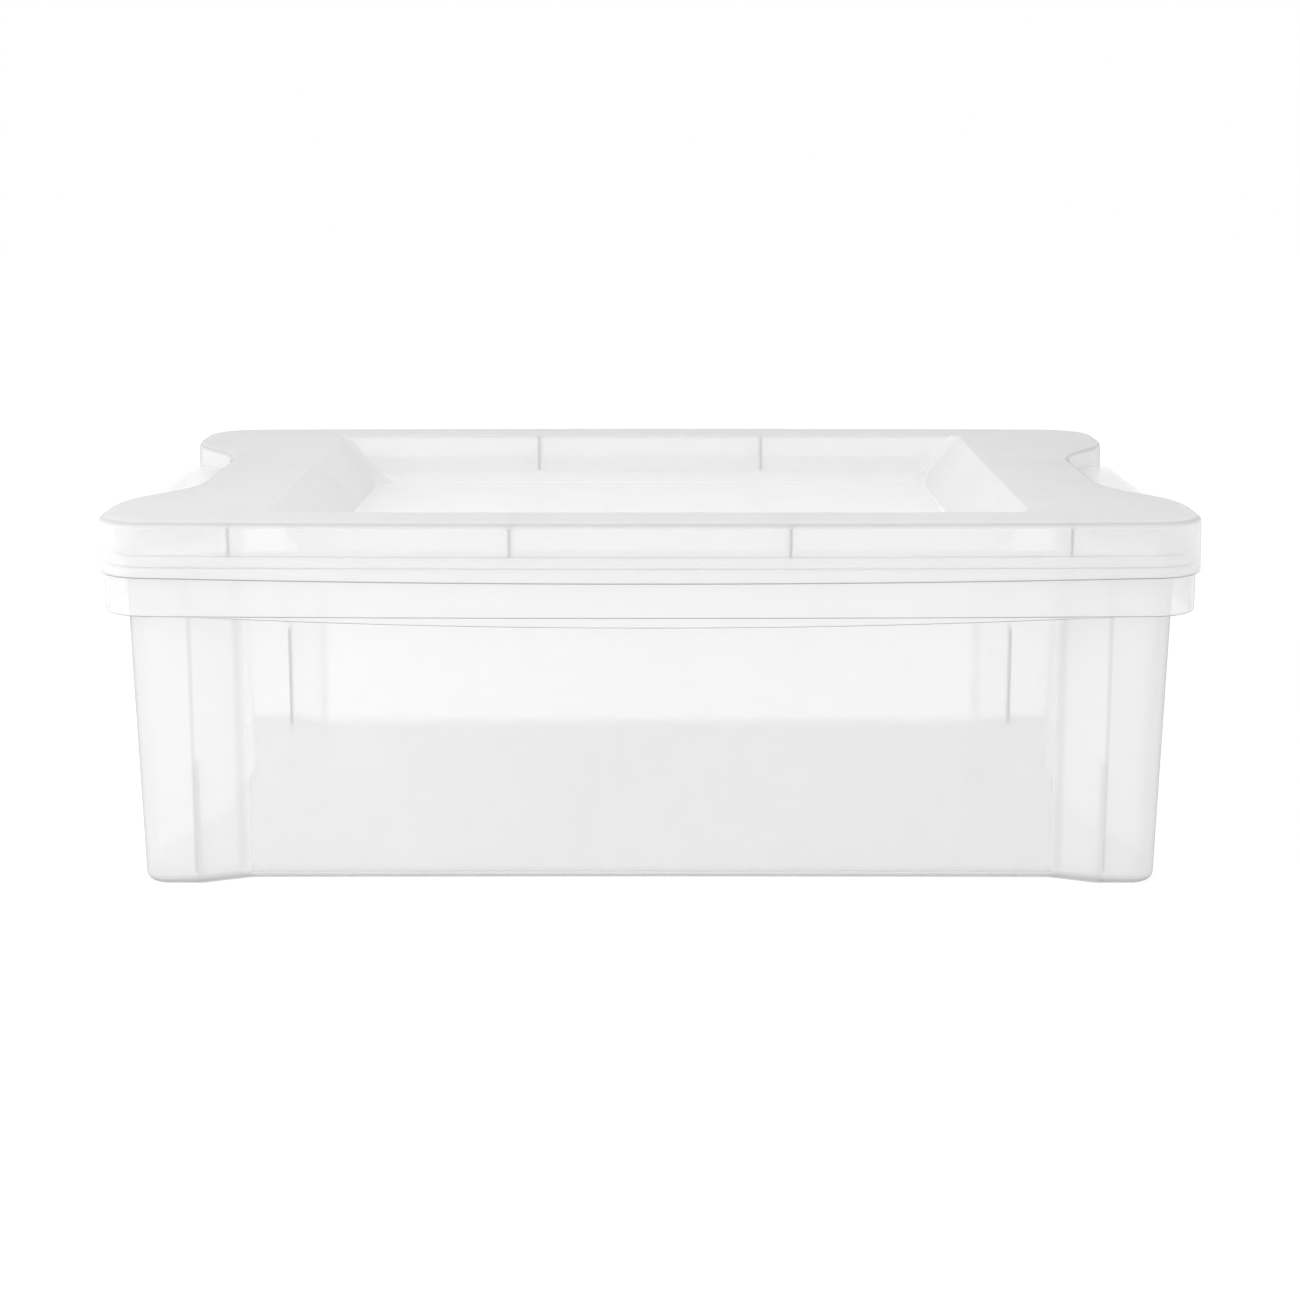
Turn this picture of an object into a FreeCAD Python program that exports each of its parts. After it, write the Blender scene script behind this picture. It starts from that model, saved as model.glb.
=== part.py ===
import FreeCAD, Part
import math
import os
from collections import namedtuple
from FreeCAD import Vector

# Overall size, in millimetres; the origin is at the middle of the underside, +Z up, front at -Y
LID_WIDTH = 560.0
LID_DEPTH = 403.0
HEIGHT = 191.0

# Plan shape shared by the lid, the rim and the tub: bowed long sides, short sides drawn in to a waist
CORNER_RADIUS = 30.0
LONG_SIDE_RADIUS = 6500.0
LOBE_FLAT = 25.0
WAIST_SWEEP = 100.0
WAIST_INSET = 33.0

# Lid moulding
LID_WALL = 1.8
LID_SKIRT = 28.7
LID_SKIRT_ARCH = 2.0
LID_TAPER = 0.6
LID_EDGE_RADIUS = 3.0
LONG_STRIP = 40.0
SHORT_STRIP = 86.0
RECESS_DEPTH = 28.0
RECESS_WALL_DEPTH = 22.4
RECESS_END_SLOPE = 23.5
RECESS_SIDE_SLOPE = 1.5
RECESS_COVE = 11.0
RECESS_CORNER = 8.0
RECESS_FLOOR_CORNER = 20.0
RECESS_EDGE_RADIUS = 1.5
WEB_THICKNESS = 1.6
WEB_DROP = 17.3
WEB_TONGUE = 4.7
WEB_SPACING = 140.0
WEB_COUNT = 4

# Tub moulding
TUB_WALL = 1.8
TUB_FLOOR = 2.2
TUB_DRAFT = 1.6
TUB_BOTTOM_RADIUS = 5.0
TUB_INSIDE_RADIUS = 4.0
POST_FLAT = 15.0
POST_BEND = 4.0
PANEL_SWEEP = 28.0
PANEL_INSET = 10.0
PANEL_BEND = 2.0
RIM_WALL = 2.0
RIM_FLANGE = 11.6
RIM_SKIRT = 30.8
RIM_STEP_DROP = 5.4
RIM_STEP_WIDTH = 3.0
RIM_LIP_SETBACK = 0.9
RIM_LIP_ARCH = 5.0
NEST_RIB_HEIGHT = 64.0
NEST_RIB_DEPTH = 6.0
NEST_RIB_THICKNESS = 2.0

# Handles, one over each waist
HANDLE_INSET = 4.0
HANDLE_LENGTH = 200.0
HANDLE_DROP = 10.0
HANDLE_SKIRT = 8.0
HANDLE_WALL = 2.0
HANDLE_CORNER = 10.0
HANDLE_EDGE_RADIUS = 2.0

# Clearances between the two mouldings
RIM_CLEARANCE = 0.6
SEAT_GAP = 0.3
WEB_CLEARANCE = 1.5
HANDLE_CLEARANCE = 1.5
SKIRT_CLEARANCE = 2.5

# Levels and outward offsets that follow from the sizes above
HALF_WIDTH = LID_WIDTH / 2
HALF_DEPTH = LID_DEPTH / 2
CORNER_X = HALF_WIDTH - CORNER_RADIUS
BOW_CENTRE = HALF_DEPTH - LONG_SIDE_RADIUS
CORNER_Y = BOW_CENTRE + math.sqrt((LONG_SIDE_RADIUS - CORNER_RADIUS) ** 2 - CORNER_X ** 2)
POST_X = CORNER_X - POST_FLAT
RECESS_X = HALF_WIDTH - SHORT_STRIP
RECESS_Y = HALF_DEPTH - LONG_STRIP
RIM_TOP = HEIGHT - WEB_DROP - SEAT_GAP
RIM_BOTTOM = RIM_TOP - RIM_SKIRT
RIM_STEP = RIM_TOP - RIM_STEP_DROP
SKIRT_BOTTOM = HEIGHT - LID_SKIRT
HANDLE_TOP = HEIGHT - HANDLE_DROP
LEDGE_TOP = SKIRT_BOTTOM - SKIRT_CLEARANCE
LEDGE_BOTTOM = LEDGE_TOP - HANDLE_WALL
HANDLE_BOTTOM = LEDGE_BOTTOM - HANDLE_SKIRT
RIM_GROW = -(LID_WALL + RIM_CLEARANCE)
BODY_GROW = RIM_GROW - RIM_FLANGE
TUB_WAIST_INSET = WAIST_INSET - RIM_FLANGE + RIM_WALL / 2
BEYOND = 20.0

# An arc of a plan outline: turn is 1 where the outline bulges out and -1 where it curves in
PlanArc = namedtuple("PlanArc", "x y radius turn start end")


def unit(x, y):
    """Direction of length 1 along (x, y)."""
    length = math.hypot(x, y)
    return (x / length, y / length)


def opposite(direction):
    """The direction that points the other way."""
    return (-direction[0], -direction[1])


def sweep_radius(length, inset):
    """Radius of the two equal arcs that carry a line sideways by inset over length."""
    return (length * length + inset * inset) / (4 * inset)


def body_grow(z):
    """Offset of the tub's outer wall at height z, which narrows downwards."""
    return BODY_GROW - (RIM_TOP - z) * math.tan(math.radians(TUB_DRAFT))


def waist_arcs(inset):
    """The two arcs from the waist out to the corner lobe, in the quarter where X and Y are positive."""
    radius = sweep_radius(WAIST_SWEEP, inset)
    high = CORNER_Y - LOBE_FLAT
    low = high - WAIST_SWEEP
    across = unit(inset / 2 - radius, WAIST_SWEEP / 2)
    inward = PlanArc(HALF_WIDTH - inset + radius, low, radius, -1, (-1.0, 0.0), across)
    outward = PlanArc(HALF_WIDTH - radius, high, radius, 1, opposite(across), (1.0, 0.0))
    return [inward, outward]


def bowed_quarter():
    """Quarter outline of the lid and rim, whose long sides bow out on a large radius."""
    meet = unit(CORNER_X, CORNER_Y - BOW_CENTRE)
    corner = PlanArc(CORNER_X, CORNER_Y, CORNER_RADIUS, 1, (1.0, 0.0), meet)
    bow = PlanArc(0.0, BOW_CENTRE, LONG_SIDE_RADIUS, 1, meet, (0.0, 1.0))
    return waist_arcs(WAIST_INSET) + [corner, bow]


def panelled_quarter():
    """Quarter outline of the tub, whose long sides slope in to a flat panel between corner posts."""
    post_bend = POST_BEND + TUB_WALL - body_grow(0)
    bends = post_bend + PANEL_BEND
    reach = math.hypot(PANEL_SWEEP, bends - PANEL_INSET)
    slope = math.atan2(PANEL_SWEEP, bends - PANEL_INSET) - math.acos(bends / reach)
    across = (-math.sin(slope), math.cos(slope))
    corner = PlanArc(CORNER_X, HALF_DEPTH - CORNER_RADIUS, CORNER_RADIUS, 1, (1.0, 0.0), (0.0, 1.0))
    outward = PlanArc(POST_X, HALF_DEPTH - post_bend, post_bend, 1, (0.0, 1.0), across)
    inward = PlanArc(POST_X - PANEL_SWEEP, HALF_DEPTH - PANEL_INSET + PANEL_BEND, PANEL_BEND, -1,
                     opposite(across), (0.0, -1.0))
    return waist_arcs(TUB_WAIST_INSET) + [corner, outward, inward]


def rounded_quarter(half_x, half_y, radius):
    """Quarter outline of a rectangle with round corners."""
    return [PlanArc(half_x - radius, half_y - radius, radius, 1, (1.0, 0.0), (0.0, 1.0))]


def whole_outline(quarter):
    """All arcs round the object, from those of one quarter, in order."""
    mirrored = [arc._replace(x=-arc.x, start=(-arc.end[0], arc.end[1]), end=(-arc.start[0], arc.start[1]))
                for arc in reversed(quarter)]
    half = quarter + mirrored
    other = [arc._replace(y=-arc.y, start=(arc.end[0], -arc.end[1]), end=(arc.start[0], -arc.start[1]))
             for arc in reversed(half)]
    return half + other


def outline_wire(arcs, grow, z):
    """Closed wire at height z, moved outwards from the arcs by grow."""
    def point(arc, direction):
        radius = arc.radius + arc.turn * grow
        return Vector(arc.x + direction[0] * radius, arc.y + direction[1] * radius, z)

    edges = []
    for arc, following in zip(arcs, arcs[1:] + arcs[:1]):
        middle = unit(arc.start[0] + arc.end[0], arc.start[1] + arc.end[1])
        last = point(arc, arc.end)
        edges.append(Part.Arc(point(arc, arc.start), point(arc, middle), last).toShape())
        first = point(following, following.start)
        if last.distanceToPoint(first) > 1e-6:
            edges.append(Part.LineSegment(last, first).toShape())
    return Part.Wire(edges)


BOWED = whole_outline(bowed_quarter())
PANELLED = whole_outline(panelled_quarter())


def prism(arcs, grow, low, high):
    """Upright solid on an outline, between two heights."""
    return Part.Face(outline_wire(arcs, grow, low)).extrude(Vector(0, 0, high - low))


def tapered(arcs, low_grow, low, high_grow, high):
    """Solid between one outline at two heights, with a different offset at each."""
    wires = [outline_wire(arcs, low_grow, low), outline_wire(arcs, high_grow, high)]
    return Part.makeLoft(wires, True, True)


def edges_at(solid, z):
    """Edges of a solid that lie flat at height z."""
    def level(edge):
        box = edge.BoundBox
        return max(abs(box.ZMin - z), abs(box.ZMax - z)) < 1e-4

    return [edge for edge in solid.Edges if level(edge)]


def below_arch(half_length, level, sag):
    """Solid below a level whose middle stretch hangs down by sag, right through from front to back."""
    left = Vector(-half_length, -LID_DEPTH, level)
    right = Vector(half_length, -LID_DEPTH, level)
    curve = Part.Arc(left, Vector(0, -LID_DEPTH, level - sag), right).toShape()
    outside = [(LID_WIDTH, level), (LID_WIDTH, 0), (-LID_WIDTH, 0), (-LID_WIDTH, level)]
    corners = [right] + [Vector(x, -LID_DEPTH, z) for x, z in outside] + [left]
    face = Part.Face(Part.Wire([curve] + Part.makePolygon(corners).Edges))
    return face.extrude(Vector(0, 2 * LID_DEPTH, 0))


def tub_body():
    """Solid block of the tub's outside, with its bottom edge rounded."""
    block = tapered(PANELLED, body_grow(0), 0, body_grow(RIM_TOP), RIM_TOP)
    return block.makeFillet(TUB_BOTTOM_RADIUS, edges_at(block, 0))


def tub_hollow():
    """Solid block of the tub's inside, open past the rim."""
    top = RIM_TOP + BEYOND
    block = tapered(PANELLED, body_grow(TUB_FLOOR) - TUB_WALL, TUB_FLOOR, body_grow(top) - TUB_WALL, top)
    return block.makeFillet(TUB_INSIDE_RADIUS, edges_at(block, TUB_FLOOR))


def stepped_prism(arcs, grow, low, step, top):
    """Upright solid on an outline that is narrower, by the rim's step, above the step's height."""
    return prism(arcs, grow, low, step).fuse(prism(arcs, grow - RIM_STEP_WIDTH, step, top))


def tub_rim():
    """Rim cap: a stepped top and a hanging skirt, with an arched lip below the long sides."""
    lip_bottom = RIM_BOTTOM - RIM_LIP_ARCH
    outside = stepped_prism(BOWED, RIM_GROW, lip_bottom, RIM_STEP, RIM_TOP)
    inside = stepped_prism(BOWED, RIM_GROW - RIM_WALL, lip_bottom, RIM_STEP - RIM_WALL, RIM_TOP - RIM_WALL)
    lip = prism(BOWED, RIM_GROW - RIM_LIP_SETBACK, lip_bottom, RIM_BOTTOM)
    setback = prism(BOWED, 0, lip_bottom, RIM_BOTTOM).cut(lip)
    arch = below_arch(HALF_WIDTH - WAIST_INSET - RIM_FLANGE, RIM_BOTTOM, RIM_LIP_ARCH)
    return outside.cut(inside).cut(setback).cut(arch)


def handles():
    """Both hollow handles: each stands outside the lid's waist on a ledge of the rim."""
    plan = whole_outline(rounded_quarter(HALF_WIDTH - HANDLE_INSET, HANDLE_LENGTH / 2, HANDLE_CORNER))
    block = prism(plan, 0, HANDLE_BOTTOM, HANDLE_TOP)
    block = block.makeFillet(HANDLE_EDGE_RADIUS, edges_at(block, HANDLE_TOP))
    cavity = prism(plan, -HANDLE_WALL, HANDLE_BOTTOM, HANDLE_TOP - HANDLE_WALL)
    inner_wall = prism(BOWED, HANDLE_CLEARANCE + HANDLE_WALL, LEDGE_BOTTOM, HANDLE_TOP)
    lid_slot = prism(BOWED, HANDLE_CLEARANCE, LEDGE_TOP, HANDLE_TOP)
    rim_face = prism(BOWED, RIM_GROW, HANDLE_BOTTOM, HANDLE_TOP)
    rim_middle = prism(BOWED, RIM_GROW - RIM_WALL / 2, HANDLE_BOTTOM, HANDLE_TOP)
    finger_gap = cavity.cut(inner_wall).cut(rim_face)
    return block.cut(finger_gap).cut(lid_slot).cut(rim_middle)


def nest_ribs(body):
    """Upright ribs inside the four corner posts, on which a nested tub comes to rest."""
    inner = HALF_DEPTH + body_grow(0) - TUB_WALL - NEST_RIB_DEPTH
    bottom = TUB_FLOOR / 2
    ribs = []
    for side in (-1, 1):
        for low in (inner, -HALF_DEPTH):
            x = side * (POST_X - NEST_RIB_THICKNESS)
            corner = Vector(x - NEST_RIB_THICKNESS / 2, low, bottom)
            rib = Part.makeBox(NEST_RIB_THICKNESS, HALF_DEPTH - inner, NEST_RIB_HEIGHT - bottom, corner)
            ribs.append(rib.common(body))
    return ribs


def tub():
    """The tub with its rim, handles and nesting ribs, in one moulding."""
    body = tub_body()
    shell = tub_rim().fuse(body).cut(tub_hollow())
    return shell.fuse([handles()] + nest_ribs(body)).removeSplitter()


def recess_block(grow, sink):
    """Block of the lid's recess, moved outwards and down: sloping ends, upright long sides, a cove below."""
    foot_x = RECESS_X - RECESS_END_SLOPE * RECESS_WALL_DEPTH / RECESS_DEPTH
    foot_y = RECESS_Y - RECESS_SIDE_SLOPE
    floor = rounded_quarter(RECESS_X - RECESS_END_SLOPE, foot_y - RECESS_COVE, RECESS_FLOOR_CORNER)
    foot = rounded_quarter(foot_x, foot_y, RECESS_CORNER)
    mouth = rounded_quarter(RECESS_X, RECESS_Y, RECESS_CORNER)
    floor_z = HEIGHT - RECESS_DEPTH - sink
    foot_z = HEIGHT - RECESS_WALL_DEPTH - sink
    levels = [(floor, floor_z), (foot, foot_z), (mouth, HEIGHT)]
    wires = [outline_wire(whole_outline(quarter), grow, z) for quarter, z in levels]
    return Part.makeLoft(wires, True, True)


def lid_webs(outside):
    """Upright webs in the long strips: they rest on the rim, and a tongue reaches inside it."""
    inner = RECESS_Y - RECESS_SIDE_SLOPE
    roof = HEIGHT - LID_WALL / 2
    seat = HEIGHT - WEB_DROP
    tongue = HALF_DEPTH - PANEL_INSET + BODY_GROW - TUB_WALL - WEB_CLEARANCE
    outline = [(inner, roof), (HALF_DEPTH, roof), (HALF_DEPTH, seat), (tongue, seat),
               (tongue - WEB_TONGUE, seat - WEB_TONGUE), (inner, seat - WEB_TONGUE), (inner, roof)]
    webs = []
    for index in range(WEB_COUNT):
        x = (index - (WEB_COUNT - 1) / 2) * WEB_SPACING
        for end in (-1, 1):
            corners = [Vector(x - WEB_THICKNESS / 2, end * y, z) for y, z in outline]
            web = Part.Face(Part.makePolygon(corners)).extrude(Vector(WEB_THICKNESS, 0, 0))
            webs.append(web.common(outside))
    return webs


def lid():
    """The lid: a skirted top with a recess sunk into it, and webs under its long strips."""
    lowest = SKIRT_BOTTOM - LID_SKIRT_ARCH
    outside = tapered(BOWED, 0, lowest, -LID_TAPER, HEIGHT)
    outside = outside.makeFillet(LID_EDGE_RADIUS, edges_at(outside, HEIGHT))
    inside = tapered(BOWED, -LID_WALL, lowest, -LID_WALL - LID_TAPER, HEIGHT - LID_WALL)
    arch = below_arch(HALF_WIDTH - WAIST_INSET, SKIRT_BOTTOM, LID_SKIRT_ARCH)
    shell = outside.cut(inside).cut(arch)
    blocks = [recess_block(LID_WALL, LID_WALL)] + lid_webs(outside)
    moulding = shell.fuse(blocks).cut(recess_block(0, 0)).removeSplitter()
    mouth = [edge for edge in edges_at(moulding, HEIGHT) if abs(edge.CenterOfMass.x) < RECESS_X + LID_WALL
             and abs(edge.CenterOfMass.y) < RECESS_Y + LID_WALL]
    return moulding.makeFillet(RECESS_EDGE_RADIUS, mouth)


for name, shape in (("tub", tub()), ("lid", lid())):
    print(name, "solids", len(shape.Solids), "valid", shape.isValid(), "cm3", round(shape.Volume / 1000, 1))
    shape.exportStep("parts/" + name + ".step")
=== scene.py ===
import logging
import math
from dataclasses import dataclass, field, replace
from enum import Enum, IntEnum
from functools import partial
from typing import Any

import bpy
import numpy as np
from bpy.types import Material, Node, NodeSocket, NodeTree, Object
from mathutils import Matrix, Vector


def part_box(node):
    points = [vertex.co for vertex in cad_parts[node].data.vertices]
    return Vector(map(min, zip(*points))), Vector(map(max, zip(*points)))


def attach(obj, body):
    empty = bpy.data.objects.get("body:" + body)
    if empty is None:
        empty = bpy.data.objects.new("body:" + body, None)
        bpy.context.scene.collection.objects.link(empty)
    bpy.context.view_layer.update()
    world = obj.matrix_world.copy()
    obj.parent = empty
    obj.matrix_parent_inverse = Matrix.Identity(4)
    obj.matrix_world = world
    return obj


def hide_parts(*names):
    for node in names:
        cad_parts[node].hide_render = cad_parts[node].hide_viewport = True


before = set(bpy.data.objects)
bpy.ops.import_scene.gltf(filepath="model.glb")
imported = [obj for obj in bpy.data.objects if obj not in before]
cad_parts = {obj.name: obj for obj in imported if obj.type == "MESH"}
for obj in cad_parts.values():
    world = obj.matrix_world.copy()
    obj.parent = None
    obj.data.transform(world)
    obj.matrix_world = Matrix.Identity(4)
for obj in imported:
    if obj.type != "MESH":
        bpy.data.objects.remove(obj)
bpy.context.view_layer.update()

# Storage box of natural polypropylene: a tub with a stepped rim and two hollow handles, and a lift-off lid
# with a sunken panel. All shapes are worked out in millimetres and turned to metres when a mesh is made.

LOG = logging.getLogger("storage_box")
MM = 0.001
# Gap that is left between the lid's webs and the tub's rim.
SEAT_GAP = 0.3
SHARP_DEGREES = 38.0
BEVEL_SEGMENTS = 2
Height = float | np.ndarray
Run = tuple[np.ndarray, np.ndarray, np.ndarray]
Place = tuple[float, float, float]
# Numbers of the mix node's sockets that carry colours.
MIX_A, MIX_B, MIX_OUT = 6, 7, 2


class Side(Enum):
    """A short side of the box, with the sign of X there."""

    LEFT = -1
    RIGHT = 1


class Long(Enum):
    """A long side of the box, with the sign of Y there."""

    FRONT = -1
    BACK = 1


class TubFinish(IntEnum):
    """Number of each finish on the tub's shell."""

    PANEL = 0
    RIM = 1
    POSTS = 2
    FLOOR = 3
    SIDES = 4


class LidFinish(IntEnum):
    """Number of each finish on the lid's shell."""

    TOP = 0
    PANEL = 1
    SKIRT = 2
    RECESS = 3
    ENDS = 4


def linear(colour: str) -> tuple[float, float, float, float]:
    """Turns an sRGB hex colour into linear light, by the curve of the sRGB standard.

    Args:
        colour: six hex digits, with or without a leading hash.

    Returns:
        Red, green, blue and an alpha of 1, as a shader socket takes them.
    """
    digits = colour.lstrip("#")
    coded = np.array([int(digits[i:i + 2], 16) for i in (0, 2, 4)]) / 255.0
    light = np.where(coded <= 0.04045, coded / 12.92, ((coded + 0.055) / 1.055) ** 2.4)
    return (float(light[0]), float(light[1]), float(light[2]), 1.0)


def add_node(tree: NodeTree, kind: str, inputs: dict[str | int, Any] | None = None,
             **settings: Any) -> Node:
    """Adds one shader node to a tree, with its settings, values and links.

    Args:
        tree: node tree of a material or of the world.
        kind: Blender's name for the node type, less the word ShaderNode at its start.
        inputs: for each input socket by name or number, its value, or the socket or node to link from.
        **settings: attributes of the node.

    Returns:
        The new node.
    """
    node = tree.nodes.new("ShaderNode" + kind)
    for name, value in settings.items():
        setattr(node, name, value)
    for socket, value in (inputs or {}).items():
        source = value.outputs[0] if isinstance(value, Node) else value
        if isinstance(source, NodeSocket):
            tree.links.new(source, node.inputs[socket])
        else:
            node.inputs[socket].default_value = source
    return node


def hump(count: int) -> np.ndarray:
    """Values that rise from 0 to 1 and fall again: the squared sine over half a turn."""
    return np.square(np.sin(np.linspace(0.0, math.pi, count)))


def arc(centre: tuple[float, float], radius: float, start: float, end: float, count: int, turn: int = 1,
        fold: float = 0.0) -> Run:
    """Points on an arc: centre plus radius times the direction at an angle going evenly from start to end.

    Args:
        centre: centre of the arc.
        radius: its radius.
        start: first angle in degrees.
        end: last angle in degrees.
        count: number of points.
        turn: 1 where the outline bulges out, -1 where it curves in.
        fold: how marked a fold the arc's middle is, from 0 to 1.

    Returns:
        The points, their outward normals and their folds.
    """
    angle = np.radians(np.linspace(start, end, count))
    direction = np.column_stack([np.cos(angle), np.sin(angle)])
    return np.array(centre) + radius * direction, turn * direction, fold * hump(count)


def line(start: tuple[float, float], end: tuple[float, float], count: int) -> Run:
    """Points on a straight run: the ends mixed by a share that goes evenly from 0 to 1.

    Args:
        start: first point.
        end: last point, with the outline's outside on the right of the way there.
        count: number of points.

    Returns:
        The points, their outward normals and their folds, which are 0.
    """
    first, last = np.array(start), np.array(end)
    along = (last - first) / np.linalg.norm(last - first)
    share = np.linspace(0.0, 1.0, count)[:, None]
    return first + share * (last - first), np.tile([along[1], -along[0]], (count, 1)), np.zeros(count)


@dataclass(frozen=True)
class Outline:
    """A closed plan outline, counterclockwise: points, outward normals, and how marked a fold each is on."""

    points: np.ndarray
    normals: np.ndarray
    folds: np.ndarray

    @classmethod
    def from_quarter(cls, runs: list[Run]) -> "Outline":
        """Joins the runs of one quarter, from the middle of +X to that of +Y, and mirrors them all round.

        Args:
            runs: points, normals and folds of each run, each starting where the one before it ends.

        Returns:
            The whole outline, with no point twice.
        """
        def whole(quarter: np.ndarray, across: tuple[int, ...], over: tuple[int, ...]) -> np.ndarray:
            """The loop of a quarter's values, with the signs that they take across X and over Y."""
            half = np.concatenate([quarter, (quarter * across)[-2::-1]])
            return np.concatenate([half, (half * over)[-2:0:-1]])

        points, normals, folds = (
            np.concatenate([run[:-1] for run in values[:-1]] + [values[-1]]) for values in zip(*runs))
        return cls(whole(points, (-1, 1), (1, -1)), whole(normals, (-1, 1), (1, -1)),
                   whole(folds, (1,), (1,)))

    def ring(self, grow: float, z: Height, share: float = 1.0) -> np.ndarray:
        """Ring at height z of a share of point plus grow times normal, so moved outwards by grow."""
        flat = (self.points + grow * self.normals) * share
        return np.column_stack([flat, np.broadcast_to(z, len(flat))])


def sweep_radius(length: float, inset: float) -> float:
    """Radius of two equal arcs that shift a line: length squared plus inset squared, over 4 times inset."""
    return (length * length + inset * inset) / (4 * inset)


@dataclass(frozen=True)
class Plan:
    """Plan of the box: the outlines that tub and lid share, all with matching points."""

    half_width: float
    half_depth: float
    corner_radius: float = 30.0
    bow_radius: float = 6500.0
    lobe_flat: float = 25.0
    waist_sweep: float = 100.0
    waist_inset: float = 33.0
    tub_waist_inset: float = 22.4
    post_flat: float = 15.0
    post_bend: float = 24.64
    panel_sweep: float = 28.0
    panel_inset: float = 10.0
    panel_bend: float = 2.0
    post_fold: float = 0.8
    panel_fold: float = 0.5
    bend_length: float = 4.0
    short_steps: int = 4
    slope_steps: int = 6
    waist_steps: int = 8
    sweep_steps: int = 14
    bend_steps: int = 9
    corner_steps: int = 14
    side_steps: int = 18

    @property
    def corner_x(self) -> float:
        """X of the corner arcs' centres."""
        return self.half_width - self.corner_radius

    @property
    def bow_centre(self) -> float:
        """Y of the centre that the back side's bow turns about."""
        return self.half_depth - self.bow_radius

    @property
    def corner_y(self) -> float:
        """Y of the corner arcs' centres where the long sides bow."""
        return self.bow_centre + math.sqrt((self.bow_radius - self.corner_radius) ** 2 - self.corner_x ** 2)

    @property
    def lobe_y(self) -> float:
        """Y at which the straight lobe of a short side starts."""
        return self.corner_y - self.lobe_flat

    @property
    def waist_x(self) -> float:
        """X of the drawn-in middle of the lid's short side."""
        return self.half_width - self.waist_inset

    @property
    def post_x(self) -> float:
        """X at which a corner post starts to step in to the long side's panel."""
        return self.corner_x - self.post_flat

    def bow_y(self, x: Height) -> Height:
        """Y of the bowed back side at x: the bow's circle about its centre."""
        return self.bow_centre + np.sqrt(self.bow_radius ** 2 - np.square(x))

    def short_side(self, inset: float) -> list[Run]:
        """Runs of half a short side: straight waist, arc in, arc out, straight lobe.

        Args:
            inset: how far the waist is drawn in.

        Returns:
            The runs.
        """
        radius = sweep_radius(self.waist_sweep, inset)
        turn = math.degrees(math.asin(self.waist_sweep / 2 / radius))
        waist = self.half_width - inset
        high = self.lobe_y
        low = high - self.waist_sweep
        return [
            line((waist, 0.0), (waist, low), self.waist_steps),
            arc((waist + radius, low), radius, 180.0, 180.0 - turn, self.sweep_steps, -1),
            arc((self.half_width - radius, high), radius, -turn, 0.0, self.sweep_steps),
            line((self.half_width, high), (self.half_width, self.corner_y), self.short_steps),
        ]

    def long_side_stops(self) -> list[np.ndarray]:
        """X of the points along half a long side: post, bend, slope, bend, panel, each evenly divided.

        Returns:
            One array for each run.
        """
        start = self.corner_x * self.bow_radius / (self.bow_radius - self.corner_radius)
        end = self.post_x - self.panel_sweep
        steps = (self.short_steps, self.bend_steps, self.slope_steps, self.bend_steps, self.side_steps)
        stops = (start, self.post_x, self.post_x - self.bend_length, end + self.bend_length, end, 0.0)
        return [np.linspace(a, b, n) for a, b, n in zip(stops, stops[1:], steps)]

    def bowed(self) -> Outline:
        """Outline of lid and rim, whose long sides bow out on a large circle.

        Returns:
            The outline.
        """
        meet = math.degrees(math.atan2(self.corner_y - self.bow_centre, self.corner_x))
        runs = self.short_side(self.waist_inset)
        runs.append(arc((self.corner_x, self.corner_y), self.corner_radius, 0.0, meet, self.corner_steps))
        for x in self.long_side_stops():
            points = np.column_stack([x, self.bow_y(x)])
            runs.append((points, (points - (0.0, self.bow_centre)) / self.bow_radius, np.zeros(len(x))))
        return Outline.from_quarter(runs)

    def panelled(self) -> Outline:
        """Outline of the tub's walls, whose long sides slope in to a flat panel between the corner posts.

        The slope is the line that touches the circles of both its bends. Each bend turns by the angle of the
        line between their centres less the arc cosine of the radii's sum over that line's length.

        Returns:
            The outline.
        """
        bends = self.post_bend + self.panel_bend
        reach = math.hypot(self.panel_sweep, bends - self.panel_inset)
        turn = math.degrees(math.atan2(self.panel_sweep, bends - self.panel_inset)
                            - math.acos(bends / reach))
        depth, panel = self.half_depth, self.half_depth - self.panel_inset
        end = self.post_x - self.panel_sweep
        outer = arc((self.post_x, depth - self.post_bend), self.post_bend, 90.0, 90.0 + turn,
                    self.bend_steps, 1, self.post_fold)
        inner = arc((end, panel + self.panel_bend), self.panel_bend, turn - 90.0, -90.0,
                    self.bend_steps, -1, self.panel_fold)
        runs = self.short_side(self.tub_waist_inset)
        runs[-1] = line((self.half_width, self.lobe_y), (self.half_width, depth - self.corner_radius),
                        self.short_steps)
        runs += [
            arc((self.corner_x, depth - self.corner_radius), self.corner_radius, 0.0, 90.0,
                self.corner_steps),
            line((self.corner_x, depth), (self.post_x, depth), self.short_steps),
            outer,
            line(tuple(outer[0][-1]), tuple(inner[0][0]), self.slope_steps),
            inner,
            line((end, panel), (0.0, panel), self.side_steps),
        ]
        return Outline.from_quarter(runs)

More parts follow.
